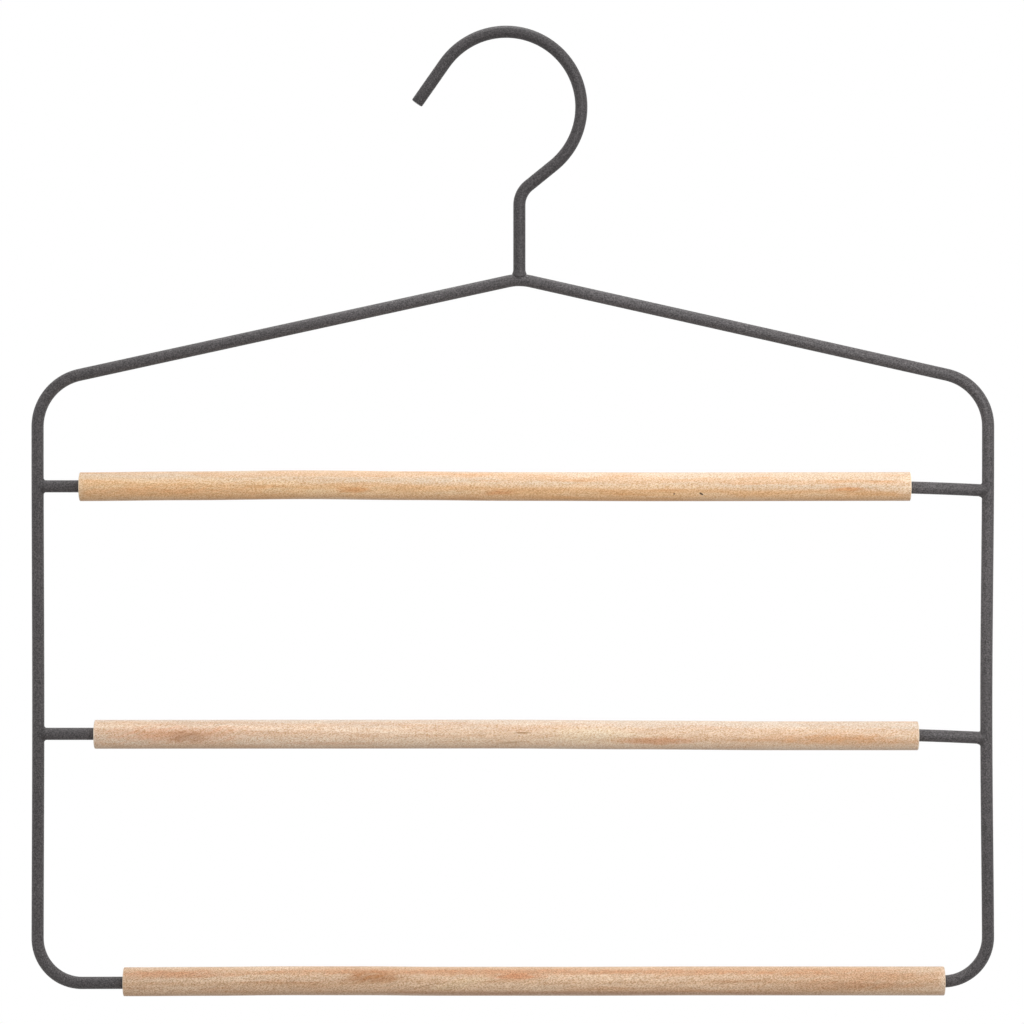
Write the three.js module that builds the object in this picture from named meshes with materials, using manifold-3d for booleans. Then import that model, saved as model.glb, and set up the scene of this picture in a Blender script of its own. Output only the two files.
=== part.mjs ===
// Tiered trouser hanger: a bent steel wire frame with a welded hook and two welded crossbars.
// Wooden rollers turn loosely on the crossbars and on the frame's bottom run.
// Millimetres, +Z up, front facing -Y. The origin is the hook's seat: the inside top of its
// round, where it rests on a rail that runs along Y.

import * as THREE from 'three';
import { mergeVertices } from 'three/addons/utils/BufferGeometryUtils.js';
import Module from 'manifold-3d';

const wasm = await Module();
wasm.setup();

// Wire
const wireDiameter = 5.1; // drawn steel wire with its powder coat
const fitGap = 0.3; // between pieces that rest on each other or are welded together

// Hook
const hookRadius = 31.2; // round of the hook, to the wire's centre line
const hookRise = 71.2; // centre of the round above the frame's apex corner
const stemOffset = 5.5; // stem, to the right of the round's centre
const neckAngle = 51; // degrees, lean of the neck away from the stem
const neckBendRadius = 10.4;
const tipAngle = 35; // degrees, lean of the straight tip away from vertical
const tipLength = 20;
const tipChamfer = 0.5;

// Frame, measured between the corners of the wire's centre line
const frameWidth = 394;
const apexOffset = 2.7; // apex and stem, to the right of the frame's middle
const shoulderDrop = 43.6; // apex corner down to the shoulder corners
const apexBendRadius = 22;
const shoulderBendRadius = 22;
const lowerBendRadius = 18.6;

// Tiers
const upperBarDrop = 42.4; // shoulder corners down to the upper crossbar
const tierPitch = 102.6; // upper to middle crossbar, and middle crossbar to bottom run

// Rollers, and how far each stands from the side or bend at its left and right end
const rollerDiameter = 12;
const rollerChamfer = 0.5;
const boreClearance = 0.45; // bore to wire, all round
const upperLeftGap = 14.9;
const upperRightGap = 29.7;
const middleLeftGap = 21.1;
const middleRightGap = 26.5;
const bottomLeftGap = 17.1;
const bottomRightGap = -0.4; // its end reaches just past the start of the bend

// Welds
const weldLeg = 1.3; // fillet's reach along each wire, from the corner between them
const weldProud = 0.7; // bead's height in front of and behind the wires
const seamLength = 1.4; // butt weld that closes the frame's loop, dressed flush

// Facets
const wireSides = 20;
const rollerSides = 40;
const bendStep = THREE.MathUtils.degToRad(9);
const weldFaceSteps = 4;

// Finishes
const coatColour = 0x4d4a4b; // charcoal
const upperWood = 0xe1bc94;
const middleWood = 0xd8b99c;
const bottomWood = 0xc9a688;

// Worked-out sizes. Pieces are drawn from the frame's middle and its apex corner.
const wireRadius = wireDiameter / 2;
const halfWidth = frameWidth / 2;
const upperBarZ = -shoulderDrop - upperBarDrop;
const middleBarZ = upperBarZ - tierPitch;
const bottomRunZ = middleBarZ - tierPitch;
const rollerHang = boreClearance - fitGap; // a roller's bore hangs on top of its wire

// Centre line of a bent wire in the XZ plane, made as a wire bender makes it: straight feeds
// and round bends. Stations lie where a feed ends and along each bend.
class WireRoute extends THREE.Curve {
  constructor(start, heading) {
    super();
    this.heading = heading; // radians from +X towards +Z
    this.stations = [];
    this.addStation(new THREE.Vector3(start.x, 0, start.z));
  }

  addStation(point) {
    const tangent = new THREE.Vector3(Math.cos(this.heading), 0, Math.sin(this.heading));
    this.stations.push({ point, tangent });
  }

  rightOfHeading() {
    return new THREE.Vector3(Math.sin(this.heading), 0, -Math.cos(this.heading));
  }

  feed(length) {
    const { point, tangent } = this.stations.at(-1);
    this.addStation(point.clone().addScaledVector(tangent, length));
    return this;
  }

  // A positive turn, in radians, bends the wire to the left of its heading.
  bend(radius, turn) {
    const reach = radius * Math.sign(turn);
    const centre = this.stations.at(-1).point.clone().addScaledVector(this.rightOfHeading(), -reach);
    const steps = Math.ceil(Math.abs(turn) / bendStep);
    const firstHeading = this.heading;
    for (let step = 1; step <= steps; step += 1) {
      this.heading = firstHeading + (turn * step) / steps;
      this.addStation(centre.clone().addScaledVector(this.rightOfHeading(), reach));
    }
    return this;
  }

  stationAt(t) {
    return this.stations[Math.round(t * (this.stations.length - 1))];
  }

  getPoint(t) {
    return this.stationAt(t).point.clone();
  }

  getTangent(t) {
    return this.stationAt(t).tangent.clone();
  }

  // Steps along the wire go from station to station, not by equal lengths.
  getUtoTmapping(u) {
    return u;
  }
}

function sweptWire(route, radius) {
  const section = new THREE.Shape().absarc(0, 0, radius, 0, 2 * Math.PI);
  return new THREE.ExtrudeGeometry(section, {
    steps: route.stations.length - 1,
    curveSegments: wireSides / 2,
    extrudePath: route,
  });
}

function solidOf(geometry) {
  const bare = geometry.clone();
  bare.deleteAttribute('normal');
  bare.deleteAttribute('uv');
  const merged = mergeVertices(bare);
  return new wasm.Manifold(new wasm.Mesh({
    numProp: 3,
    vertProperties: new Float32Array(merged.attributes.position.array),
    triVerts: new Uint32Array(merged.index.array),
  }));
}

function geometryOf(solid) {
  const mesh = solid.getMesh();
  const geometry = new THREE.BufferGeometry();
  geometry.setAttribute('position', new THREE.BufferAttribute(mesh.vertProperties, 3));
  geometry.setIndex(new THREE.BufferAttribute(mesh.triVerts, 1));
  geometry.computeVertexNormals();
  return geometry;
}

// Frame wire: from the seam in the bottom run, up the right side, over the apex and back.
function frameRoute() {
  const seamEnd = seamLength / 2 + fitGap;
  const stops = [
    { x: seamEnd, z: bottomRunZ },
    { x: halfWidth, z: bottomRunZ, radius: lowerBendRadius },
    { x: halfWidth, z: -shoulderDrop, radius: shoulderBendRadius },
    { x: apexOffset, z: 0, radius: apexBendRadius },
    { x: -halfWidth, z: -shoulderDrop, radius: shoulderBendRadius },
    { x: -halfWidth, z: bottomRunZ, radius: lowerBendRadius },
    { x: -seamEnd, z: bottomRunZ },
  ];
  const legs = stops.slice(1).map((stop, index) => {
    const alongX = stop.x - stops[index].x;
    const alongZ = stop.z - stops[index].z;
    return { length: Math.hypot(alongX, alongZ), heading: Math.atan2(alongZ, alongX) };
  });
  const route = new WireRoute(stops[0], legs[0].heading);
  let setback = 0; // length that the bend before takes out of a leg
  legs.slice(1).forEach((nextLeg, index) => {
    const { radius } = stops[index + 1];
    const turn = THREE.MathUtils.euclideanModulo(nextLeg.heading - legs[index].heading, 2 * Math.PI);
    const nextSetback = radius * Math.tan(turn / 2);
    route.feed(legs[index].length - setback - nextSetback).bend(radius, turn);
    setback = nextSetback;
  });
  return route.feed(legs.at(-1).length - setback);
}

// Hook wire: from the frame's crown up the stem, out along the neck, round, and down the tip.
function hookRoute(crownZ) {
  const lean = THREE.MathUtils.degToRad(neckAngle);
  const roundTurn = Math.PI + lean - THREE.MathUtils.degToRad(tipAngle);
  const neckShift = neckBendRadius * (1 - Math.cos(lean));
  const neckLength = (hookRadius * Math.cos(lean) - stemOffset - neckShift) / Math.sin(lean);
  const neckRise = neckBendRadius * Math.sin(lean) + neckLength * Math.cos(lean);
  const stemLength = hookRise - crownZ - hookRadius * Math.sin(lean) - neckRise;
  return new WireRoute({ x: apexOffset, z: crownZ }, Math.PI / 2)
    .feed(stemLength)
    .bend(neckBendRadius, -lean)
    .feed(neckLength)
    .bend(hookRadius, roundTurn)
    .feed(tipLength);
}

// Ring that takes the corner off the cut end of a wire.
function endChamferCutter(route) {
  const { point, tangent } = route.stations.at(-1);
  const ring = [
    new THREE.Vector2(wireRadius - 2 * tipChamfer, tipChamfer),
    new THREE.Vector2(wireRadius + tipChamfer, -2 * tipChamfer),
    new THREE.Vector2(wireRadius + tipChamfer, tipChamfer),
    new THREE.Vector2(wireRadius - 2 * tipChamfer, tipChamfer),
  ];
  const along = new THREE.Quaternion().setFromUnitVectors(new THREE.Vector3(0, 1, 0), tangent);
  return new THREE.LatheGeometry(ring, wireSides)
    .applyQuaternion(along)
    .translate(point.x, point.y, point.z);
}

function hookSolid(route, frameSeat) {
  return solidOf(sweptWire(route, wireRadius))
    .subtract(frameSeat)
    .subtract(solidOf(endChamferCutter(route)));
}

// Straight rod at a bar's height, from side to side, as thick as the radius given.
function barGeometry(barZ, radius) {
  return new THREE.CylinderGeometry(radius, radius, frameWidth, wireSides)
    .rotateZ(Math.PI / 2)
    .translate(0, 0, barZ);
}

// Weld bead between the end of a rod and the wire that it meets: half a ball about the rod's
// axis, flattened front to back, and cut to sit round the rod and on the wire.
function weldSolid(place, turnToRod, rodSeat, wireSeat) {
  const ballRadius = Math.hypot(wireRadius, wireRadius + weldLeg); // through both ends of the fillet
  const halfBall = new THREE.Shape()
    .moveTo(0, 0)
    .lineTo(ballRadius, 0)
    .absarc(0, 0, ballRadius, 0, Math.PI / 2);
  const flatten = (wireRadius + weldProud) / ballRadius;
  const bead = new THREE.LatheGeometry(halfBall.getPoints(weldFaceSteps), wireSides)
    .applyQuaternion(new THREE.Quaternion().setFromEuler(turnToRod))
    .scale(1, flatten, 1)
    .translate(place.x, 0, place.z);
  return solidOf(bead).subtract(rodSeat).subtract(wireSeat);
}

// Bored wooden dowel with chamfered ends, about its own Y axis.
function rollerGeometry(length) {
  const outer = rollerDiameter / 2;
  const bore = wireRadius + boreClearance;
  const end = length / 2;
  const profile = [
    new THREE.Vector2(bore, -end),
    new THREE.Vector2(outer - rollerChamfer, -end),
    new THREE.Vector2(outer, rollerChamfer - end),
    new THREE.Vector2(outer, end - rollerChamfer),
    new THREE.Vector2(outer - rollerChamfer, end),
    new THREE.Vector2(bore, end),
    new THREE.Vector2(bore, -end),
  ];
  return new THREE.LatheGeometry(profile, rollerSides);
}

function powderCoat() {
  return new THREE.MeshStandardMaterial({ color: coatColour, roughness: 0.7, metalness: 0.1 });
}

function bareWood(colour) {
  return new THREE.MeshStandardMaterial({ color: colour, roughness: 0.6, metalness: 0 });
}

// The group sets the hook's seat at the origin.
const frame = new THREE.Group();
frame.position.set(stemOffset - apexOffset, 0, wireRadius - hookRadius - hookRise);

function addPiece(name, geometry, material) {
  const piece = new THREE.Mesh(geometry, material);
  piece.name = name;
  frame.add(piece);
  return piece;
}

// Frame and hook
const frameLine = frameRoute();
const crownZ = Math.max(...frameLine.stations.map(({ point }) => point.z));
const hookLine = hookRoute(crownZ);
const frameSeat = solidOf(sweptWire(frameLine, wireRadius + fitGap));
const hookSeat = solidOf(sweptWire(hookLine, wireRadius + fitGap));
addPiece('frame_wire', sweptWire(frameLine, wireRadius), powderCoat());
addPiece('hook', geometryOf(hookSolid(hookLine, frameSeat)), powderCoat());

const turnUp = new THREE.Euler(Math.PI / 2, 0, 0);
const hookWeld = weldSolid({ x: apexOffset, z: crownZ }, turnUp, hookSeat, frameSeat);
addPiece('hook_weld', geometryOf(hookWeld), powderCoat());

const seamWeld = new THREE.CylinderGeometry(wireRadius, wireRadius, seamLength, wireSides);
const seamPiece = addPiece('seam_weld', seamWeld, powderCoat());
seamPiece.rotation.z = Math.PI / 2;
seamPiece.position.z = bottomRunZ;

// Crossbars, each with a weld at its left and right end
const turnRight = new THREE.Euler(0, 0, -Math.PI / 2);
const turnLeft = new THREE.Euler(0, 0, Math.PI / 2);
for (const [tier, barZ] of [['upper', upperBarZ], ['middle', middleBarZ]]) {
  const rod = solidOf(barGeometry(barZ, wireRadius)).subtract(frameSeat);
  addPiece(`${tier}_crossbar`, geometryOf(rod), powderCoat());
  const rodSeat = solidOf(barGeometry(barZ, wireRadius + fitGap));
  const leftWeld = weldSolid({ x: -halfWidth, z: barZ }, turnRight, rodSeat, frameSeat);
  const rightWeld = weldSolid({ x: halfWidth, z: barZ }, turnLeft, rodSeat, frameSeat);
  addPiece(`${tier}_left_weld`, geometryOf(leftWeld), powderCoat());
  addPiece(`${tier}_right_weld`, geometryOf(rightWeld), powderCoat());
}

// Rollers, turned from the lathe's axis to lie along their wires
function addRoller(name, wireZ, leftEnd, rightEnd, colour) {
  const roller = addPiece(name, rollerGeometry(rightEnd - leftEnd), bareWood(colour));
  roller.rotation.z = -Math.PI / 2;
  roller.position.set((leftEnd + rightEnd) / 2, 0, wireZ - rollerHang);
}

const barReach = halfWidth - wireRadius; // frame's middle to a side's inner face
const runReach = halfWidth - lowerBendRadius; // frame's middle to the start of a lower bend
addRoller('upper_roller', upperBarZ, upperLeftGap - barReach, barReach - upperRightGap, upperWood);
addRoller('middle_roller', middleBarZ, middleLeftGap - barReach, barReach - middleRightGap, middleWood);
addRoller('bottom_roller', bottomRunZ, bottomLeftGap - runReach, runReach - bottomRightGap, bottomWood);

const hanger = new THREE.Group();
hanger.add(frame);

export default hanger;
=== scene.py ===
import math

import bmesh
import bpy
from mathutils import Matrix, Vector


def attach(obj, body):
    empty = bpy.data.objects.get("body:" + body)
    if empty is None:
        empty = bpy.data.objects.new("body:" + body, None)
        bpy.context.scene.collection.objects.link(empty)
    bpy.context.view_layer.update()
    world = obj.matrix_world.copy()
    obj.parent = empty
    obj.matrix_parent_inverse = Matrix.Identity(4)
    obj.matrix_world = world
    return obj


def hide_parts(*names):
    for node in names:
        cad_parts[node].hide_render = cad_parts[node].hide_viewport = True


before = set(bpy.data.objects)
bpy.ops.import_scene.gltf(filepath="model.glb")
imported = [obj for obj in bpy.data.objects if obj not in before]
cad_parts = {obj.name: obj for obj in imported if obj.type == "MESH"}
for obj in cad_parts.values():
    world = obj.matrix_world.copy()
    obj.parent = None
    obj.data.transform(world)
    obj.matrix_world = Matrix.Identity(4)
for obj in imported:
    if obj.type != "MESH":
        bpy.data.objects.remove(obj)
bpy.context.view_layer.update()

mm = 0.001  # pieces are drawn in millimetres and turned to metres as they are finished
samePlace = 0.0005  # mm, points nearer than this are one
nearPlace = 0.01  # mm, leeway when edges are picked by where they lie
sharpAngle = 40  # degrees, edges that turn more than this are shaded sharp
noiseSpan = (0.3, 0.7)  # most of a noise's values lie here
noiseMiddle = 0.5  # about their mean


def linearColour(code):  # sRGB hex to linear, with full alpha
    shares = [int(code[at:at + 2], 16) / 255 for at in (1, 3, 5)]
    return tuple(s / 12.92 if s <= 0.04045 else ((s + 0.055) / 1.055) ** 2.4 for s in shares) + (1.0,)


def addNode(tree, kind, inputs=None, **settings):  # an input is a value, or the socket it is linked from
    made = tree.nodes.new(kind)
    for name, value in settings.items():
        setattr(made, name, value)
    for socket, source in (inputs or {}).items():
        if isinstance(source, bpy.types.NodeSocket):
            tree.links.new(source, made.inputs[socket])
        else:
            made.inputs[socket].default_value = source
    return made


def emptyMaterial(name):
    material = bpy.data.materials.new(name)
    material.use_nodes = True
    material.node_tree.nodes.clear()
    return material, material.node_tree


# Polyester powder, sprayed on steel and baked: matt charcoal with a sandy grit that breaks up the light,
# so no clean highlight runs along the wire, and its edges look paler than its middle.
coatLook = {
    "hollow": "#363334",  # between the grains
    "grain": "#5f5b5c",
    "speck": "#807c7c",  # a few grains that catch the light
    "grit": 0.52,  # mm; the real grit is about 0.2 mm, drawn coarser so that it shows
    "gritHeight": 0.15,  # mm
    "grainEdge": (0.34, 0.66),  # noise level where a grain begins, and where it is full
    "speckSpacing": 1.6,  # mm
    "speckSize": (0.3, 0.1),  # shares of the spacing where a speck begins, and where it is full
    "speckShare": 0.4,
    "drift": 42,  # mm, slow change in the coat's thickness
    "driftShade": (0.92, 1.08),
    "roughness": (0.54, 0.4),  # in a hollow and on a grain
    "specular": 0.36,
}
hookShadedLook = dict(coatLook, hollow="#2b292a", grain="#4c4849", speck="#696565")  # the same coat painted a shade darker: painted shade, as less light reaches the hook
beadShadedLook = dict(coatLook, hollow="#332f30", grain="#4f4c4d", grit=0.6)  # coarser grit where the coat pools on a weld, and a darker tone that is painted shade for the creases round it


def powderCoat(name, look):
    material, tree = emptyMaterial(name)
    place = addNode(tree, "ShaderNodeTexCoord").outputs["Object"]
    grit = addNode(tree, "ShaderNodeTexNoise", {
        "Vector": place, "Scale": 1 / (look["grit"] * mm), "Detail": 2.0, "Roughness": 0.6,
    }).outputs["Fac"]
    drift = addNode(tree, "ShaderNodeTexNoise", {
        "Vector": place, "Scale": 1 / (look["drift"] * mm), "Detail": 1.0,
    }).outputs["Fac"]
    specks = addNode(tree, "ShaderNodeTexVoronoi", {
        "Vector": place, "Scale": 1 / (look["speckSpacing"] * mm), "Randomness": 1.0,
    }).outputs["Distance"]
    grains = addNode(tree, "ShaderNodeMapRange", {
        "Value": grit, "From Min": look["grainEdge"][0], "From Max": look["grainEdge"][1],
    }, interpolation_type="SMOOTHSTEP").outputs["Result"]
    tone = addNode(tree, "ShaderNodeMix", {
        0: grains, 6: linearColour(look["hollow"]), 7: linearColour(look["grain"]),
    }, data_type="RGBA").outputs[2]
    speckMask = addNode(tree, "ShaderNodeMapRange", {
        "Value": specks, "From Min": look["speckSize"][0], "From Max": look["speckSize"][1],
        "To Max": look["speckShare"],
    }, interpolation_type="SMOOTHSTEP").outputs["Result"]
    specked = addNode(tree, "ShaderNodeMix", {
        0: speckMask, 6: tone, 7: linearColour(look["speck"]),
    }, data_type="RGBA").outputs[2]
    driftShade = addNode(tree, "ShaderNodeMapRange", {
        "Value": drift, "From Min": noiseSpan[0], "From Max": noiseSpan[1],
        "To Min": look["driftShade"][0], "To Max": look["driftShade"][1],
    }).outputs["Result"]
    colour = addNode(tree, "ShaderNodeVectorMath", {
        0: specked, 3: driftShade,
    }, operation="SCALE").outputs[0]
    roughness = addNode(tree, "ShaderNodeMapRange", {
        "Value": grit, "From Min": noiseSpan[0], "From Max": noiseSpan[1],
        "To Min": look["roughness"][0], "To Max": look["roughness"][1],
    }).outputs["Result"]
    bump = addNode(tree, "ShaderNodeBump", {
        "Height": grit, "Strength": 1.0, "Distance": look["gritHeight"] * mm,
    }).outputs["Normal"]
    shader = addNode(tree, "ShaderNodeBsdfPrincipled", {
        "Base Color": colour, "Roughness": roughness, "Normal": bump, "IOR": 1.5,
        "Specular IOR Level": look["specular"],
    }).outputs["BSDF"]
    addNode(tree, "ShaderNodeOutputMaterial", {"Surface": shader})
    return material


# Birch, turned to dowel, bored and sanded, left bare: pale cream with soft bands where the turning cut
# through the year rings, warm streaks along the grain, a peppering of short flecks and pores and a dull
# surface; a painted highlight pales the top and the eased rims, and painted light brightens broad patches.
birch = {
    "grain": {  # length and width of each kind of figure in mm, and how much detail it has
        "drift": (55, 7, 2.0),
        "streaks": (30, 1.6, 3.0),
        "figure": (7, 1.2, 3.0),
        "flecks": (0.75, 0.24, 1.0),  # real fibres are under 0.1 mm wide, drawn coarser so that they show
        "pores": (0.7, 0.3, 1.0),  # the same
    },
    "noiseRoughness": 0.55, "seedStep": 3.7, "seedSpread": (1, 0.7, 1.3),  # each layer has its own noise
    "slanted": ("figure", "flecks"), "slant": -17,  # layers that run a little across the grain, in degrees
    "ringWidth": 4.6, "ringStretch": 0.18,  # mm, and how fast the rings change along the grain
    "ringShare": 0.3, "ringShift": 0.0,
    "streakShare": 0.42, "figureShare": 0.06, "figureSpan": (0.28, 0.72),
    "paintedHighlightShare": 0.75, "paintedHighlightWander": 7.0,  # painted highlight: paler, greyer wood along the dowel's top, where the light falls, with a wandering edge
    "fleckShade": "#e0c9ad", "poreShade": "#dec9b0",
    "roughness": (0.56, 0.7),
    "fleckRelief": 0.6, "reliefHeight": 0.08,  # share of the flecks in the relief, and its height in mm
    "paintedLightZones": [],  # painted light: broad lighter patches under the figure, where the lamps leave a dowel too dark
    "stains": [],  # over the figure
    "marks": [],  # small and dark, over everything
}
waveUnit = 0.314  # a wave texture of this scale repeats once in each unit


def sandedBirch(name, look, centre):
    material, tree = emptyMaterial(name)
    coords = addNode(tree, "ShaderNodeTexCoord")
    square = addNode(tree, "ShaderNodeMapping", {  # millimetres from the dowel's middle
        "Vector": coords.outputs["Object"], "Location": [c * mm for c in centre], "Scale": (mm, mm, mm),
    }, vector_type="TEXTURE").outputs["Vector"]
    along = addNode(tree, "ShaderNodeMapping", {  # the same, turned so that x runs along the grain
        "Vector": square, "Rotation": [math.radians(a) for a in look["grainTurn"]],
    }, vector_type="TEXTURE").outputs["Vector"]
    across = addNode(tree, "ShaderNodeMapping", {  # turned on by the slant
        "Vector": along, "Rotation": (0, math.radians(look["slant"]), 0),
    }, vector_type="TEXTURE").outputs["Vector"]

    layers = {}
    for at, (layer, (length, width, detail)) in enumerate(look["grain"].items()):
        seed = look["seed"] + look["seedStep"] * at
        spread = addNode(tree, "ShaderNodeVectorMath", {
            0: across if layer in look["slanted"] else along,
            1: (1 / length, 1 / width, 1 / width), 2: [seed * share for share in look["seedSpread"]],
        }, operation="MULTIPLY_ADD").outputs[0]
        layers[layer] = addNode(tree, "ShaderNodeTexNoise", {
            "Vector": spread, "Scale": 1.0, "Detail": detail, "Roughness": look["noiseRoughness"],
        }).outputs["Fac"]
    ringPlace = addNode(tree, "ShaderNodeVectorMath", {
        0: along, 1: (look["ringStretch"], 1, 1),
    }, operation="MULTIPLY").outputs[0]
    rings = addNode(tree, "ShaderNodeTexWave", {
        "Vector": ringPlace, "Scale": waveUnit / look["ringWidth"], "Distortion": 4.0, "Detail": 2.0,
        "Detail Scale": 2.0, "Detail Roughness": look["noiseRoughness"], "Phase Offset": look["ringShift"],
    }, wave_type="BANDS", bands_direction="Z", wave_profile="SIN").outputs["Fac"]

    # height on the dowel, for the painted highlight along its top
    height = addNode(tree, "ShaderNodeSeparateXYZ", {0: along}).outputs["Z"]
    paintedHighlightTop = addNode(tree, "ShaderNodeMath", {
        0: layers["drift"], 1: look["paintedHighlightWander"], 2: height,
    }, operation="MULTIPLY_ADD").outputs[0]
    lenses = {"paintedLightZones": [], "stains": [], "marks": []}
    for kind, found in lenses.items():  # those of this one dowel, each a soft lens with a ragged edge
        for spot in look[kind]:
            lens = addNode(tree, "ShaderNodeMapping", {
                "Vector": square, "Location": spot["at"], "Scale": spot["half"],
                "Rotation": (0, math.radians(spot.get("tilt", 0)), 0),
            }, vector_type="TEXTURE").outputs["Vector"]
            reach = addNode(tree, "ShaderNodeVectorMath", {0: lens}, operation="LENGTH").outputs["Value"]
            ragged = addNode(tree, "ShaderNodeMath", {
                0: layers["figure"], 1: spot["ragged"], 2: reach,
            }, operation="MULTIPLY_ADD").outputs[0]
            edge = 1 + spot["ragged"] * noiseMiddle
            found.append((ragged, edge, edge * spot["core"], spot["share"], spot["colour"], "MIX"))
    tints = [  # mask, where it starts and is full, share, colour, how it is laid on
        (layers["drift"], 0.32, 0.68, 0.8, look["warm"], "MIX"),
        # painted light: broad lighter patches
        *lenses["paintedLightZones"],
        # painted highlight: the top of each dowel paler and greyer
        (paintedHighlightTop, 3.0, 7.5, look["paintedHighlightShare"], look["paintedHighlightTint"], "MIX"),
        (rings, 0.35, 1.0, look["ringShare"], look["lateWood"], "MIX"),
        (layers["streaks"], 0.52, 0.72, look["streakShare"], look["streak"], "MIX"),
        *lenses["stains"],
        (layers["flecks"], 0.42, 0.62, 1.0, look["fleckShade"], "MULTIPLY"),
        (layers["pores"], 0.6, 0.74, 1.0, look["poreShade"], "MULTIPLY"),
        *lenses["marks"],
    ]
    colour = linearColour(look["pale"])
    for mask, start, full, share, tint, blend in tints:
        amount = addNode(tree, "ShaderNodeMapRange", {
            "Value": mask, "From Min": start, "From Max": full, "To Max": share,
        }, interpolation_type="SMOOTHSTEP").outputs["Result"]
        colour = addNode(tree, "ShaderNodeMix", {
            0: amount, 6: colour, 7: linearColour(tint),
        }, data_type="RGBA", blend_type=blend).outputs[2]
    shade = addNode(tree, "ShaderNodeMapRange", {
        "Value": layers["figure"], "From Min": look["figureSpan"][0], "From Max": look["figureSpan"][1],
        "To Min": 1 + look["figureShare"], "To Max": 1 - look["figureShare"],
    }).outputs["Result"]
    colour = addNode(tree, "ShaderNodeVectorMath", {0: colour, 3: shade}, operation="SCALE").outputs[0]

    facing = addNode(tree, "ShaderNodeSeparateXYZ", {0: coords.outputs["Normal"]}).outputs["X"]
    endwise = addNode(tree, "ShaderNodeMath", {0: facing}, operation="ABSOLUTE").outputs[0]
    ends = [  # how far the surface faces endwise where a tint starts and is full, its share and colour
        (0.08, 0.5, 0.8, look["rim"]),  # painted highlight: the eased rims paler, as where they catch the light
        (0.8, 0.97, 0.65, look["endGrain"]),  # cut across the grain
    ]
    for start, full, share, tint in ends:
        amount = addNode(tree, "ShaderNodeMapRange", {
            "Value": endwise, "From Min": start, "From Max": full, "To Max": share,
        }, interpolation_type="SMOOTHSTEP").outputs["Result"]
        colour = addNode(tree, "ShaderNodeMix", {
            0: amount, 6: colour, 7: linearColour(tint),
        }, data_type="RGBA").outputs[2]

    roughness = addNode(tree, "ShaderNodeMapRange", {
        "Value": layers["figure"], "From Min": noiseSpan[0], "From Max": noiseSpan[1],
        "To Min": look["roughness"][0], "To Max": look["roughness"][1],
    }).outputs["Result"]
    relief = addNode(tree, "ShaderNodeMath", {
        0: layers["flecks"], 1: look["fleckRelief"], 2: layers["figure"],
    }, operation="MULTIPLY_ADD").outputs[0]
    bump = addNode(tree, "ShaderNodeBump", {
        "Height": relief, "Strength": 0.6, "Distance": look["reliefHeight"] * mm,
    }).outputs["Normal"]
    shader = addNode(tree, "ShaderNodeBsdfPrincipled", {
        "Base Color": colour, "Roughness": roughness, "Normal": bump, "IOR": 1.45,
        "Sheen Weight": 0.3, "Sheen Roughness": 0.5,  # fuzz left by the sanding
    }).outputs["BSDF"]
    addNode(tree, "ShaderNodeOutputMaterial", {"Surface": shader})
    return material


wireCoat = powderCoat("powderCoatedSteelWire", coatLook)
hookCoat = powderCoat("powderCoatedSteelHook", hookShadedLook)
beadCoat = powderCoat("powderCoatedWeldBead", beadShadedLook)
print("coats made")


def finishPiece(bm, name, material, body, slot, *nodes):
    bmesh.ops.remove_doubles(bm, verts=bm.verts, dist=samePlace)
    bmesh.ops.recalc_face_normals(bm, faces=bm.faces)
    bmesh.ops.scale(bm, vec=(mm, mm, mm), verts=bm.verts)
    mesh = bpy.data.meshes.new(name)
    bm.to_mesh(mesh)
    bm.free()
    mesh.shade_smooth()
    mesh.set_sharp_from_angle(angle=math.radians(sharpAngle))
    mesh.materials.append(material)
    piece = bpy.data.objects.new(name, mesh)
    bpy.context.scene.collection.objects.link(piece)
    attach(piece, body)
    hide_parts(*nodes)
    return piece


# A wire is bent as on a wire bender: a ring of edges is fed straight ahead or swung round a bend.
def startWire(diameter, sides, place, heading):  # place is (x, z), heading in radians from +X to +Z
    bm = bmesh.new()
    ahead = Vector((math.cos(heading), 0, math.sin(heading)))
    spot = Vector((place[0], 0, place[1]))
    stand = Matrix.Translation(spot) @ ahead.to_track_quat("Z", "Y").to_matrix().to_4x4()
    bmesh.ops.create_circle(bm, segments=sides, radius=diameter / 2, matrix=stand)
    return {"bm": bm, "first": bm.edges[:], "ring": bm.edges[:], "place": spot, "heading": heading}


def feedWire(wire, length, parts=1):
    step = Vector((math.cos(wire["heading"]), 0, math.sin(wire["heading"]))) * (length / parts)
    for part in range(parts):
        grown = bmesh.ops.extrude_edge_only(wire["bm"], edges=wire["ring"])["geom"]
        verts = [g for g in grown if isinstance(g, bmesh.types.BMVert)]
        bmesh.ops.translate(wire["bm"], verts=verts, vec=step)
        wire["ring"] = [g for g in grown if isinstance(g, bmesh.types.BMEdge) and g.is_boundary]
    wire["place"] = wire["place"] + step * parts


def bendWire(wire, radius, turn, stepDegrees=3):  # a positive turn bends to the left of the heading
    heading = wire["heading"]
    inward = Vector((-math.sin(heading), 0, math.cos(heading))) * math.copysign(radius, turn)
    centre = wire["place"] + inward
    swung = bmesh.ops.spin(
        wire["bm"], geom=wire["ring"], cent=centre, axis=(0, -1, 0), angle=turn,
        steps=math.ceil(abs(math.degrees(turn)) / stepDegrees),
    )["geom_last"]
    wire["ring"] = [g for g in swung if isinstance(g, bmesh.types.BMEdge)]
    wire["place"] = centre + Matrix.Rotation(turn, 3, (0, -1, 0)) @ (wire["place"] - centre)
    wire["heading"] = heading + turn


def closeWire(wire):
    bmesh.ops.edgeloop_fill(wire["bm"], edges=wire["first"])
    bmesh.ops.edgeloop_fill(wire["bm"], edges=wire["ring"])


wireSize = {"diameter": 5.07, "sides": 36}

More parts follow.
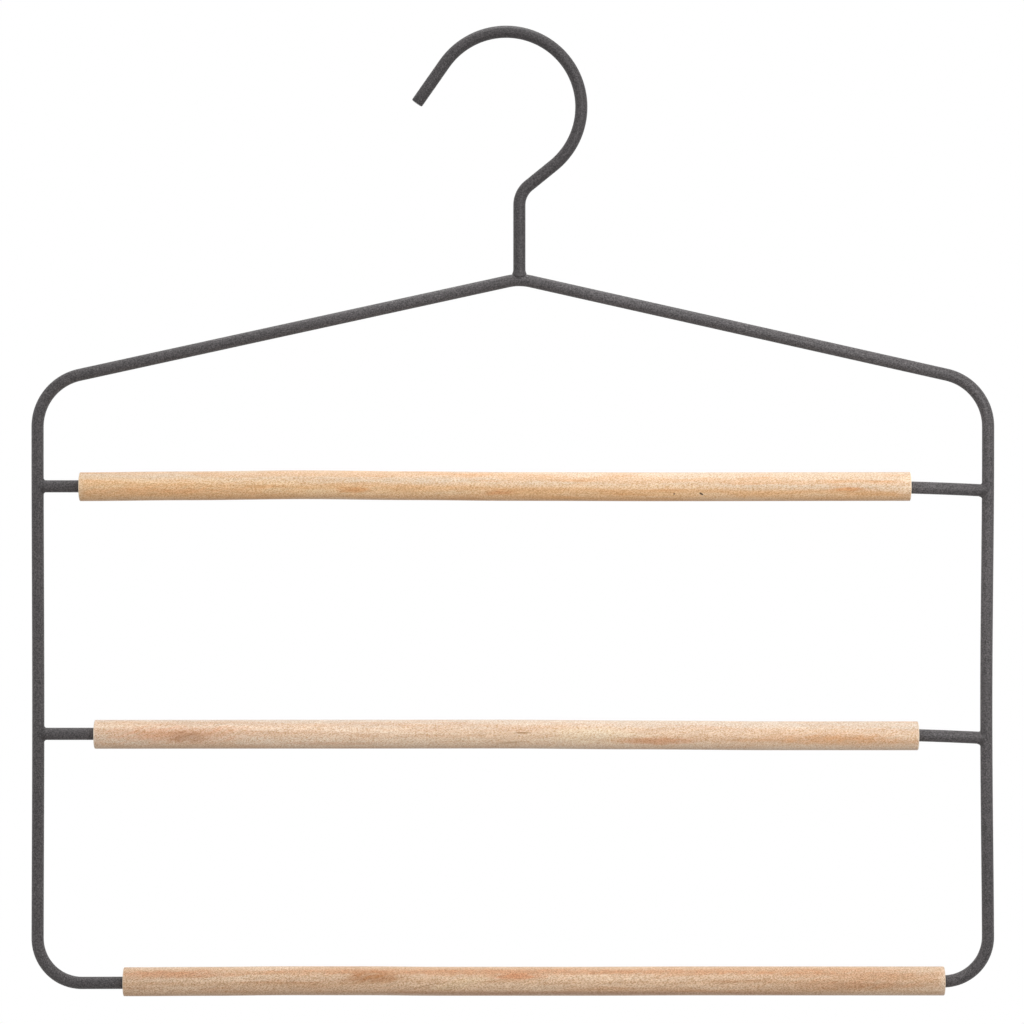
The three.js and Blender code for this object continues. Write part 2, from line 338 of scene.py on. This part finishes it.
# The welds draw the sides in a little and pull the right ends of the crossbars down, as on the real one.
asMade = {
    "leftBow": 0.3, "rightBow": 0.75, "bowTop": -165.0, "bowBottom": -392.0,  # sides drawn in
    "droop": 1.8, "droopFrom": 132.0,  # crossbars sunk at the right
    "runDrop": 0.8, "runFrom": -330.0,  # lower left corner sunk
}


def sideBow(x, z):  # how far a side is drawn in at a height
    share = (z - asMade["bowTop"]) / (asMade["bowBottom"] - asMade["bowTop"])
    swell = math.sin(math.pi * min(max(share, 0), 1)) ** 2
    return -asMade["rightBow"] * swell if x > 0 else asMade["leftBow"] * swell


def barDroop(x):  # how far a crossbar has sunk
    share = (x - asMade["droopFrom"]) / (frameWire["right"] - asMade["droopFrom"])
    return asMade["droop"] * max(0, share) ** 2


def runDrop(share, z):  # how far the bottom run has sunk, from its middle to the left corner
    low = min(max((asMade["runFrom"] - z) / (asMade["runFrom"] - frameWire["bottom"]), 0), 1)
    return asMade["runDrop"] * max(share, 0) ** 2 * low


frameWire = {
    "left": -194.2, "right": 199.8, "bottom": -391.05, "shoulders": -143.45,  # centre lines
    "apex": (5.5, -99.85),
    "apexBend": 22.0, "shoulderBend": 22.0, "lowerBend": 18.6,
    "seam": 2.8, "seamGap": 2.0,  # where the wire's two ends meet
    "sideParts": 30,
}


def makeFrameWire(spec):
    left, right, bottom, shoulders = spec["left"], spec["right"], spec["bottom"], spec["shoulders"]
    stops = [
        (spec["seam"] + spec["seamGap"] / 2, bottom, 0),
        (right, bottom, spec["lowerBend"]),
        (right, shoulders, spec["shoulderBend"]),
        (*spec["apex"], spec["apexBend"]),
        (left, shoulders, spec["shoulderBend"]),
        (left, bottom, spec["lowerBend"]),
        (spec["seam"] - spec["seamGap"] / 2, bottom, 0),
    ]
    legs = [(b[0] - a[0], b[1] - a[1]) for a, b in zip(stops, stops[1:])]
    headings = [math.atan2(z, x) for x, z in legs]
    wire = startWire(wireSize["diameter"], wireSize["sides"], stops[0][:2], headings[0])
    setback = 0  # what the bend before takes out of a leg
    for at, leg in enumerate(legs):
        radius = stops[at + 1][2]
        turn = (headings[at + 1] - headings[at]) % (2 * math.pi) if radius else 0
        nextSetback = radius * math.tan(turn / 2)
        upright = abs(leg[0]) < samePlace
        feedWire(wire, math.hypot(*leg) - setback - nextSetback, spec["sideParts"] if upright else 1)
        if radius:
            bendWire(wire, radius, turn)
        setback = nextSetback
    closeWire(wire)
    middle = (left + right) / 2
    sidesFrom = (right - left) / 2 - spec["lowerBend"] / 2  # from the middle, with half of each lower bend
    for vert in wire["bm"].verts:
        if abs(vert.co.x - middle) > sidesFrom:
            vert.co.x += sideBow(vert.co.x, vert.co.z)
        vert.co.z -= runDrop((vert.co.x - middle) / (left - middle), vert.co.z)
    return wire["bm"]


finishPiece(makeFrameWire(frameWire), "frame_bent_wire", wireCoat, "frame", "coated_wire", "frame_wire")
print("frame wire bent")

hook = {
    "foot": (5.5, -100.1),  # just inside the frame's crown
    "stem": 30.8,
    "neckBend": 10.4, "neckTurn": -51, "neck": 13.228,
    "roundBend": 31.2, "roundTurn": 196,
    "tip": 20.0, "tipRound": 0.55, "tipSteps": 4,
    "roundStep": 2,  # degrees in a step of the round
}


def makeHook(spec):
    wire = startWire(wireSize["diameter"], wireSize["sides"], spec["foot"], math.pi / 2)
    feedWire(wire, spec["stem"])
    bendWire(wire, spec["neckBend"], math.radians(spec["neckTurn"]))
    feedWire(wire, spec["neck"])
    bendWire(wire, spec["roundBend"], math.radians(spec["roundTurn"]), spec["roundStep"])
    feedWire(wire, spec["tip"])
    closeWire(wire)
    bmesh.ops.bevel(  # the sawn tip, its edge softened by tumbling and by the coat
        wire["bm"], geom=wire["ring"], offset=spec["tipRound"], offset_type="OFFSET",
        segments=spec["tipSteps"], profile=0.5, affect="EDGES", material=-1,
    )
    return wire["bm"]


finishPiece(makeHook(hook), "hook_bent_wire", hookCoat, "frame", "coated_wire", "hook")
print("hook bent")

crossbars = {"upper": -185.85, "middle": -288.45}  # height of each tier's rod
rod = {"leftInset": 0.4, "rightInset": 0.6, "parts": 48}  # its ends lie inside the sides


def makeCrossbar(spec, height):
    leftEnd = frameWire["left"] + spec["leftInset"]
    wire = startWire(wireSize["diameter"], wireSize["sides"], (leftEnd, height), 0)
    feedWire(wire, frameWire["right"] - spec["rightInset"] - leftEnd, spec["parts"])
    closeWire(wire)
    for vert in wire["bm"].verts:
        vert.co.z -= barDroop(vert.co.x)
    return wire["bm"]


for tier, height in crossbars.items():
    bar = makeCrossbar(rod, height)
    finishPiece(bar, f"{tier}_rod", wireCoat, "frame", "coated_wire", f"{tier}_crossbar")
print("crossbars cut")

# A fillet bead runs round the end of a crossbar where it stands on a side.
bead = {
    "leg": 0.95,  # reach along each wire
    "proud": 0.2,  # height over the front and back
    "tuck": 0.7,  # how far its edges go into the wires
    "rodShrink": (1, 0.9, 0.9), "wireShrink": (1, 0.82, 1),  # of the tucked edges
    "steps": 40,
    "arcSteps": 5,
}


def makeBead(spec, place, toRod):  # toRod turns +X to the rod's direction
    bm = bmesh.new()
    radius, leg = wireSize["diameter"] / 2, spec["leg"]
    first = bmesh.ops.create_vert(bm, co=(radius + leg, 0, radius))["vert"]
    bmesh.ops.spin(  # hollow profile, from the rod out to the wire
        bm, geom=first, cent=(radius + leg, 0, radius + leg), axis=(0, 1, 0), angle=math.pi / 2,
        steps=spec["arcSteps"],
    )
    bmesh.ops.spin(
        bm, geom=bm.edges[:], cent=(0, 0, 0), axis=(1, 0, 0), angle=2 * math.pi, steps=spec["steps"],
        use_merge=True,
    )
    for vert in bm.verts:
        reach = math.hypot(vert.co.y, vert.co.z)
        flare = min(max((reach - radius) / leg, 0), 1)
        onWire = min(max((radius + leg - vert.co.x) / leg, 0), 1)
        vert.co.y *= (radius + spec["proud"] * flare) / reach
        vert.co.x -= onWire * saddle(vert.co.y)
    openEdges = [e for e in bm.edges if e.is_boundary]
    rodRim = [e for e in openEdges if min(v.co.x for v in e.verts) > radius + leg - nearPlace]
    wireRim = [e for e in openEdges if e not in rodRim]
    tucks = ((rodRim, spec["tuck"], spec["rodShrink"]), (wireRim, -spec["tuck"], spec["wireShrink"]))
    for rim, shift, shrink in tucks:
        grown = bmesh.ops.extrude_edge_only(bm, edges=rim)["geom"]
        verts = [g for g in grown if isinstance(g, bmesh.types.BMVert)]
        bmesh.ops.translate(bm, verts=verts, vec=(shift, 0, 0))
        bmesh.ops.scale(bm, verts=verts, vec=shrink)
        mouth = [g for g in grown if isinstance(g, bmesh.types.BMEdge) and g.is_boundary]
        bmesh.ops.edgeloop_fill(bm, edges=mouth)
    bmesh.ops.transform(bm, matrix=Matrix.Translation((place[0], 0, place[1])) @ toRod, verts=bm.verts)
    return bm


def saddle(y):  # how far a piece drops to lie over a round wire
    radius = wireSize["diameter"] / 2
    return radius - math.sqrt(max(radius ** 2 - y ** 2, 0))


# The stem was pressed into the frame's crown as it was welded, so its foot has swollen to a rolled collar.
collar = {
    "place": (5.5, -100.38),
    "profile": [  # height over the crown and swelling of the stem, from the top down
        (2.2, -0.25), (1.7, 0.01), (1.2, 0.08), (0.75, 0.2), (0.45, 0.34),
        (0.22, 0.48), (0.06, 0.46), (-0.14, 0.2), (-0.4, -0.2), (-0.6, -0.7),
    ],
    "drop": 1.25,  # how far its lower edge hangs over the front and back of the crown
    "dropCurve": 1.5,  # the drop grows by this power from the top down
    "steps": 48,
}


def makeCollar(spec):
    bm = bmesh.new()
    radius = wireSize["diameter"] / 2
    profile = [bm.verts.new((radius + height, 0, radius + swell)) for height, swell in spec["profile"]]
    for a, b in zip(profile, profile[1:]):
        bm.edges.new((a, b))
    bmesh.ops.spin(
        bm, geom=bm.edges[:], cent=(0, 0, 0), axis=(1, 0, 0), angle=2 * math.pi, steps=spec["steps"],
        use_merge=True,
    )
    top = radius + spec["profile"][0][0]
    for vert in bm.verts:
        low = min(max((top - vert.co.x) / (top - radius), 0), 1)
        facing = abs(vert.co.y) / math.hypot(vert.co.y, vert.co.z)
        vert.co.x -= low ** spec["dropCurve"] * spec["drop"] * facing
    bmesh.ops.holes_fill(bm, edges=[e for e in bm.edges if e.is_boundary])
    toStem = Matrix.Rotation(-math.pi / 2, 4, "Y")
    bmesh.ops.transform(
        bm, matrix=Matrix.Translation((spec["place"][0], 0, spec["place"][1])) @ toStem, verts=bm.verts,
    )
    return bm


def addWeld(bm, name, node):
    piece = finishPiece(bm, name, beadCoat, "frame", "coated_weld", node)
    melt = piece.modifiers.new("melt", "SUBSURF")
    melt.levels = melt.render_levels = 1


addWeld(makeCollar(collar), "hook_bead", "hook_weld")
for tier, height in crossbars.items():
    for side, turn in (("left", Matrix.Identity(4)), ("right", Matrix.Rotation(math.pi, 4, "Z"))):
        x = frameWire[side]
        spot = (x + sideBow(x, height), height - barDroop(x))
        addWeld(makeBead(bead, spot, turn), f"{tier}_{side}_bead", f"{tier}_{side}_weld")

# The butt weld that closes the frame, dressed almost flush.
seam = {
    "length": 2.6, "crown": 0.06,
    "sunk": 0.04,  # how much thinner than the wire its ends are
    "parts": 4,
}


def makeSeam(spec):
    half, bottom = spec["length"] / 2, frameWire["bottom"]
    start = (frameWire["seam"] - half, bottom)
    ring = startWire(wireSize["diameter"] - spec["sunk"], wireSize["sides"], start, 0)
    feedWire(ring, spec["length"], spec["parts"])
    closeWire(ring)
    for vert in ring["bm"].verts:
        share = (vert.co.x - frameWire["seam"]) / half
        swell = 1 + (1 - share ** 2) * spec["crown"] / (wireSize["diameter"] / 2)
        vert.co.y *= swell
        vert.co.z = bottom + (vert.co.z - bottom) * swell
    return ring["bm"]


finishPiece(makeSeam(seam), "seam_bead", beadCoat, "frame", "coated_weld", "seam_weld")
print("welds laid")

# Rollers: each a bored dowel with its own wood. The outside follows the dowel's own slight warp,
# given as (share of the length, rise in mm), and the bore stays straight. Zones, stains and marks lie at
# a place in mm from the dowel's middle, with a half size in mm of which the core has the full tint.
dowel = {
    "outer": 5.98, "bore": 3.0,  # radii
    "endRound": 0.42, "endSteps": 4, "boreRound": 0.2, "boreSteps": 2,  # eased rims
    "straightWall": 0.3, "warpedWall": 0.6,  # wall round the bore, and under the surface
    "steps": 72, "parts": 72,
}

rollers = {
    "upper": {
        "from": -176.75, "to": 167.55, "height": -186.0,
        "warp": [(0, 0.0), (0.13, 0.35), (0.27, 0.8), (0.4, 0.4), (0.52, 0.1), (0.7, -0.05), (1, 0.1)],
        "look": dict(
            birch, seed=4.0, grainTurn=(12, 0.5, 1.2), ringShift=2.6, paintedHighlightShare=0.85,
            pale="#f3d5b1", warm="#ecbd87", lateWood="#e4ab6a", streak="#e0a260", paintedHighlightTint="#e3d2be",
            rim="#f3e2c9", endGrain="#dcb78c",
            # painted light: the left half lighter, where the softboxes light it less
            paintedLightZones=[
                {"at": (-120, -5.6, 0.0), "half": (130, 4, 9.0), "colour": "#ffdfb6",
                 "core": 0.4, "share": 0.9, "ragged": 0.4},
            ],
            stains=[
                {"at": (147, -5.9, -1.0), "half": (11, 2, 1.1), "colour": "#df9d5c",
                 "core": 0.5, "share": 0.7, "ragged": 0.8},
                {"at": (-58, -5.8, -1.4), "half": (10, 2, 1.9), "colour": "#e2a263",
                 "core": 0.5, "share": 0.7, "ragged": 0.9},
                {"at": (1, -5.6, -2.6), "half": (9, 2, 1.4), "colour": "#d9985f",
                 "core": 0.5, "share": 0.65, "ragged": 0.9},
                {"at": (-140, -5.7, -1.8), "half": (70, 3, 3.0), "colour": "#eeaa66",
                 "core": 0.3, "share": 0.5, "ragged": 1.2},
                {"at": (172, -5.2, 0.5), "half": (9, 4, 9.0), "colour": "#f6e3cd",
                 "core": 0.3, "share": 0.65, "ragged": 0.5},
                {"at": (-172, -5.0, 0.0), "half": (3.2, 5, 9.0), "colour": "#f5dfc2",
                 "core": 0.3, "share": 0.5, "ragged": 0.5},
            ],
            marks=[
                {"at": (85.3, -5.2, -3.0), "half": (1.2, 1.4, 0.45), "tilt": 30, "colour": "#331d0d",
                 "core": 0.6, "share": 0.95, "ragged": 0.2},
                {"at": (74.1, -5.2, -3.0), "half": (0.55, 1.4, 0.5), "colour": "#6c4325",
                 "core": 0.5, "share": 0.85, "ragged": 0.2},
            ],
        ),
    },
    "middle": {
        "from": -170.55, "to": 170.75, "height": -288.6,
        "warp": [(0, -0.05), (0.25, 0.0), (0.5, 0.05), (0.65, -0.3), (0.83, -0.65), (1, -0.65)],
        "look": dict(
            birch, seed=9.0, grainTurn=(-20, 0.4, -0.9), ringShift=0.8, streakShare=0.34, paintedHighlightShare=0.85,
            pale="#f6e3ce", warm="#edd0b5", lateWood="#e2b78e", streak="#ddaa7c", paintedHighlightTint="#e0d3c6",
            rim="#f4e7d5", endGrain="#d9b691",
            # painted light: the left half lighter, where the softboxes light it less
            paintedLightZones=[
                {"at": (-120, -5.6, 0.0), "half": (130, 4, 9.0), "colour": "#ffecd9",
                 "core": 0.4, "share": 0.8, "ragged": 0.4},
            ],
            stains=[
                {"at": (-136, -5.6, 0.2), "half": (44, 3, 5.4), "colour": "#e6a97f",
                 "core": 0.4, "share": 0.65, "ragged": 1.2},
                {"at": (-131, -5.8, -0.4), "half": (13, 2.5, 3.8), "colour": "#a27a59",
                 "core": 0.3, "share": 0.65, "ragged": 1.8},
                {"at": (36, -5.6, 0.0), "half": (26, 3, 4.8), "colour": "#f3e6cd",
                 "core": 0.5, "share": 0.55, "ragged": 1.0},
                {"at": (138, -5.5, -1.4), "half": (40, 3, 3.0), "colour": "#dfa264",
                 "core": 0.4, "share": 0.6, "ragged": 1.2},
                {"at": (62, -5.4, -2.6), "half": (22, 2.5, 2.0), "colour": "#d99b6e",
                 "core": 0.5, "share": 0.6, "ragged": 0.9},
                {"at": (-70, -5.0, -3.6), "half": (34, 2, 1.2), "colour": "#d69f74",
                 "core": 0.4, "share": 0.35, "ragged": 1.0},
                {"at": (-170.5, -5.0, 0.0), "half": (4, 5, 9.0), "colour": "#f5decb",
                 "core": 0.3, "share": 0.55, "ragged": 0.5},
            ],
            marks=[
                {"at": (6.6, -5.9, 0.9), "half": (4.6, 1.2, 0.5), "colour": "#a97742",
                 "core": 0.5, "share": 0.8, "ragged": 0.4},
                {"at": (2.0, -5.0, -3.2), "half": (9, 1.5, 0.7), "tilt": -4, "colour": "#af8050",
                 "core": 0.5, "share": 0.5, "ragged": 1.0},
            ],
        ),
    },
    "bottom": {
        "from": -158.5, "to": 181.6, "height": -391.2,
        "warp": [
            (0, 0.0), (0.1, 0.15), (0.2, 0.42), (0.3, 0.4),
            (0.38, 0.2), (0.55, 0.2), (0.7, 0.35), (1, 0.32),
        ],
        "look": dict(
            birch, seed=15.0, grainTurn=(8, -0.4, 1.0), ringShift=1.2, paintedHighlightShare=0.35, figureShare=0.08,
            pale="#f9dfc3", warm="#eeccac", lateWood="#d7a877", streak="#d2945f", paintedHighlightTint="#dcc6ae",
            rim="#f2dcc1", endGrain="#cea983", fleckShade="#d4bea6",
            stains=[
                {"at": (0, -4.2, 4.5), "half": (175, 3.5, 1.7), "colour": "#d29462",
                 "core": 0.5, "share": 0.6, "ragged": 1.2},
                {"at": (-150, -4.6, 3.6), "half": (36, 4, 2.6), "colour": "#d09060",
                 "core": 0.5, "share": 0.6, "ragged": 1.2},
                {"at": (-67, -5.2, 2.4), "half": (22, 4, 3.8), "colour": "#bd8450",
                 "core": 0.4, "share": 0.95, "ragged": 1.4},
                {"at": (-6, -5.3, 2.9), "half": (17, 2.5, 1.9), "colour": "#d78c55",
                 "core": 0.5, "share": 0.7, "ragged": 1.2},
                {"at": (-31, -5.9, -0.4), "half": (17, 2.5, 2.7), "tilt": -12, "colour": "#f5dcb9",
                 "core": 0.5, "share": 0.65, "ragged": 0.7},
                {"at": (136, -5.6, -0.6), "half": (58, 3, 2.8), "colour": "#c48752",
                 "core": 0.4, "share": 0.65, "ragged": 1.2},
                {"at": (142, -4.6, 3.2), "half": (62, 4, 2.6), "colour": "#cb9363",
                 "core": 0.4, "share": 0.55, "ragged": 1.2},
                # painted shade: a darker, greyer band along the whole underside
                {"at": (10, -4.4, -4.5), "half": (170, 3, 1.6), "colour": "#b5866c",
                 "core": 0.4, "share": 0.6, "ragged": 1.0},
                {"at": (20, -5.9, -0.8), "half": (170, 3, 1.4), "colour": "#fbe2c6",
                 "core": 0.4, "share": 0.4, "ragged": 1.0},
                {"at": (170, -5.0, 0.0), "half": (3.6, 5, 9.0), "colour": "#f7e6d2",
                 "core": 0.3, "share": 0.65, "ragged": 0.5},
            ],
            marks=[
                {"at": (-44.8, -5.9, -1.0), "half": (9, 2, 0.45), "tilt": -13, "colour": "#9f7040",
                 "core": 0.3, "share": 0.6, "ragged": 1.0},
            ],
        ),
    },
}


def warpAt(points, share):  # smooth rise between the given points
    for (a, riseA), (b, riseB) in zip(points, points[1:]):
        if share <= b:
            t = min(max((share - a) / (b - a), 0), 1)
            return riseA + (riseB - riseA) * t * t * (3 - 2 * t)
    return points[-1][1]


def makeRoller(spec):
    bm = bmesh.new()
    start, end, outer, bore = spec["from"], spec["to"], dowel["outer"], dowel["bore"]
    outline = ((start, bore), (start, outer), (end, outer), (end, bore))
    corners = [bm.verts.new((x, 0, radius)) for x, radius in outline]
    for a, b in zip(corners, corners[1:] + corners[:1]):
        bm.edges.new((a, b))
    bmesh.ops.spin(
        bm, geom=bm.edges[:], cent=(0, 0, 0), axis=(1, 0, 0), angle=2 * math.pi, steps=dowel["steps"],
        use_merge=True,
    )
    bmesh.ops.remove_doubles(bm, verts=bm.verts, dist=samePlace)
    bmesh.ops.recalc_face_normals(bm, faces=bm.faces)
    lengthwise = [e for e in bm.edges if abs(e.verts[0].co.x - e.verts[1].co.x) > nearPlace]
    bmesh.ops.subdivide_edges(bm, edges=lengthwise, cuts=dowel["parts"], use_grid_fill=True)
    eased = ((outer, dowel["endRound"], dowel["endSteps"]), (bore, dowel["boreRound"], dowel["boreSteps"]))
    for radius, offset, steps in eased:
        onRim = {
            v for v in bm.verts
            if abs(math.hypot(v.co.y, v.co.z) - radius) < nearPlace
            and min(v.co.x - start, end - v.co.x) < nearPlace
        }
        rims = [e for e in bm.edges if all(v in onRim for v in e.verts)]
        bmesh.ops.bevel(
            bm, geom=rims, offset=offset, offset_type="OFFSET", segments=steps, profile=0.5,
            affect="EDGES", material=-1,
        )
    straight, warped = bore + dowel["straightWall"], outer - dowel["warpedWall"]
    for vert in bm.verts:
        reach = math.hypot(vert.co.y, vert.co.z)
        rise = warpAt(spec["warp"], (vert.co.x - start) / (end - start))
        vert.co.z += rise * min(max((reach - straight) / (warped - straight), 0), 1)
    bmesh.ops.translate(bm, verts=bm.verts, vec=(0, 0, spec["height"]))
    return bm


for tier, spec in rollers.items():
    middle = ((spec["from"] + spec["to"]) / 2, 0, spec["height"])
    wood = sandedBirch(f"sandedBirchDowel_{tier}", spec["look"], middle)
    tube = makeRoller(spec)
    finishPiece(tube, f"{tier}_dowel", wood, f"{tier}_roller", f"{tier}_wood", f"{tier}_roller")
print("rollers turned")

studio = {
    "floorHeight": -0.65, "floorRadius": 2.4, "floorSides": 96, "floorFade": (0.7, 1.7),
    "floorColour": "#f3f2f0", "floorShade": "#aaa8a6",  # as seen, and as it lights the object from below
    "floorLift": 0.2,  # added where the camera looks, so that the floor is about as white as the surround
    "surround": {"front": 0.62, "sides": 0.52},  # soft light from all round, more from the sides
    "softboxes": {
        "rightSoftbox": {
            "place": (0.4, -0.8, 0.1), "aim": (0.13, 0.0, -0.15), "size": 0.4, "spread": 44, "power": 0.33,
        },
        "topSoftbox": {
            "place": (0.0, 0.02, 0.48), "aim": (0.0, 0.0, -0.15), "size": 0.5, "spread": 100, "power": 0.9,
        },
    },
    "camera": {"place": (0.00245, -1.7, -0.1965), "lens": 144.19, "sensor": 36},
}


def seenDirectly(tree):  # 1 where the camera looks, by itself or in a reflection or through glass
    path = addNode(tree, "ShaderNodeLightPath").outputs
    seen = path["Is Camera Ray"]
    for ray in ("Is Glossy Ray", "Is Transmission Ray"):
        seen = addNode(tree, "ShaderNodeMath", {0: seen, 1: path[ray]}, operation="MAXIMUM").outputs[0]
    return seen


def makeFloor(spec):
    bm = bmesh.new()
    bmesh.ops.create_circle(bm, cap_ends=True, segments=spec["floorSides"], radius=spec["floorRadius"])
    bmesh.ops.translate(bm, verts=bm.verts, vec=(0, 0, spec["floorHeight"]))
    mesh = bpy.data.meshes.new("floor")
    bm.to_mesh(mesh)
    bm.free()
    material, tree = emptyMaterial("matPaintedFloor")  # pale and dull, fading out into the white surround
    place = addNode(tree, "ShaderNodeTexCoord").outputs["Object"]
    flat = addNode(tree, "ShaderNodeVectorMath", {0: place, 1: (1, 1, 0)}, operation="MULTIPLY").outputs[0]
    away = addNode(tree, "ShaderNodeVectorMath", {0: flat}, operation="LENGTH").outputs["Value"]
    fade = addNode(tree, "ShaderNodeMapRange", {
        "Value": away, "From Min": spec["floorFade"][0], "From Max": spec["floorFade"][1],
    }, interpolation_type="SMOOTHSTEP").outputs["Result"]
    tone = addNode(tree, "ShaderNodeMix", {
        0: seenDirectly(tree), 6: linearColour(spec["floorShade"]), 7: linearColour(spec["floorColour"]),
    }, data_type="RGBA").outputs[2]
    looking = addNode(tree, "ShaderNodeLightPath").outputs["Is Camera Ray"]
    lift = addNode(tree, "ShaderNodeMath", {
        0: looking, 1: spec["floorLift"],
    }, operation="MULTIPLY").outputs[0]
    paint = addNode(tree, "ShaderNodeBsdfPrincipled", {
        "Base Color": tone, "Roughness": 0.9, "Specular IOR Level": 0.2,
        "Emission Color": (1, 1, 1, 1), "Emission Strength": lift,
    }).outputs["BSDF"]
    clear = addNode(tree, "ShaderNodeBsdfTransparent").outputs["BSDF"]
    mixed = addNode(tree, "ShaderNodeMixShader", {0: fade, 1: paint, 2: clear}).outputs[0]
    addNode(tree, "ShaderNodeOutputMaterial", {"Surface": mixed})
    mesh.materials.append(material)
    floor = bpy.data.objects.new("floor", mesh)
    bpy.context.scene.collection.objects.link(floor)


def makeSurround(spec):
    world = bpy.data.worlds.new("whiteStudio")
    world.use_nodes = True
    tree = world.node_tree
    tree.nodes.clear()
    towards = addNode(tree, "ShaderNodeTexCoord").outputs["Generated"]
    axes = addNode(tree, "ShaderNodeSeparateXYZ", {0: towards}).outputs
    sideways = addNode(tree, "ShaderNodeMath", {
        0: axes["X"], 1: axes["X"],
    }, operation="MULTIPLY").outputs[0]
    level = addNode(tree, "ShaderNodeMath", {
        0: sideways, 1: spec["surround"]["sides"], 2: spec["surround"]["front"],
    }, operation="MULTIPLY_ADD").outputs[0]
    light = addNode(tree, "ShaderNodeBackground", {"Color": (1, 1, 1, 1), "Strength": level}).outputs[0]
    white = addNode(tree, "ShaderNodeBackground", {"Color": (1, 1, 1, 1), "Strength": 1.0}).outputs[0]
    mixed = addNode(tree, "ShaderNodeMixShader", {0: seenDirectly(tree), 1: light, 2: white}).outputs[0]
    addNode(tree, "ShaderNodeOutputWorld", {"Surface": mixed})
    bpy.context.scene.world = world


def makeSoftbox(name, spec):
    lamp = bpy.data.lights.new(name, "AREA")
    lamp.shape = "SQUARE"
    lamp.size = spec["size"]
    lamp.energy = spec["power"]
    lamp.spread = math.radians(spec["spread"])
    softbox = bpy.data.objects.new(name, lamp)
    softbox.location = spec["place"]
    towards = Vector(spec["aim"]) - Vector(spec["place"])
    softbox.rotation_euler = towards.to_track_quat("-Z", "Y").to_euler()
    bpy.context.scene.collection.objects.link(softbox)


def makeCamera(spec):
    view = bpy.data.cameras.new("camera")
    view.lens = spec["lens"]
    view.sensor_width = spec["sensor"]
    camera = bpy.data.objects.new("camera", view)
    camera.location = spec["place"]
    camera.rotation_euler = (math.pi / 2, 0, 0)  # level, looking along +Y
    bpy.context.scene.collection.objects.link(camera)
    bpy.context.scene.camera = camera


makeFloor(studio)
makeSurround(studio)
for lamp, spec in studio["softboxes"].items():
    makeSoftbox(lamp, spec)
makeCamera(studio["camera"])
bpy.context.scene.view_settings.view_transform = "Standard"
print("studio lit")
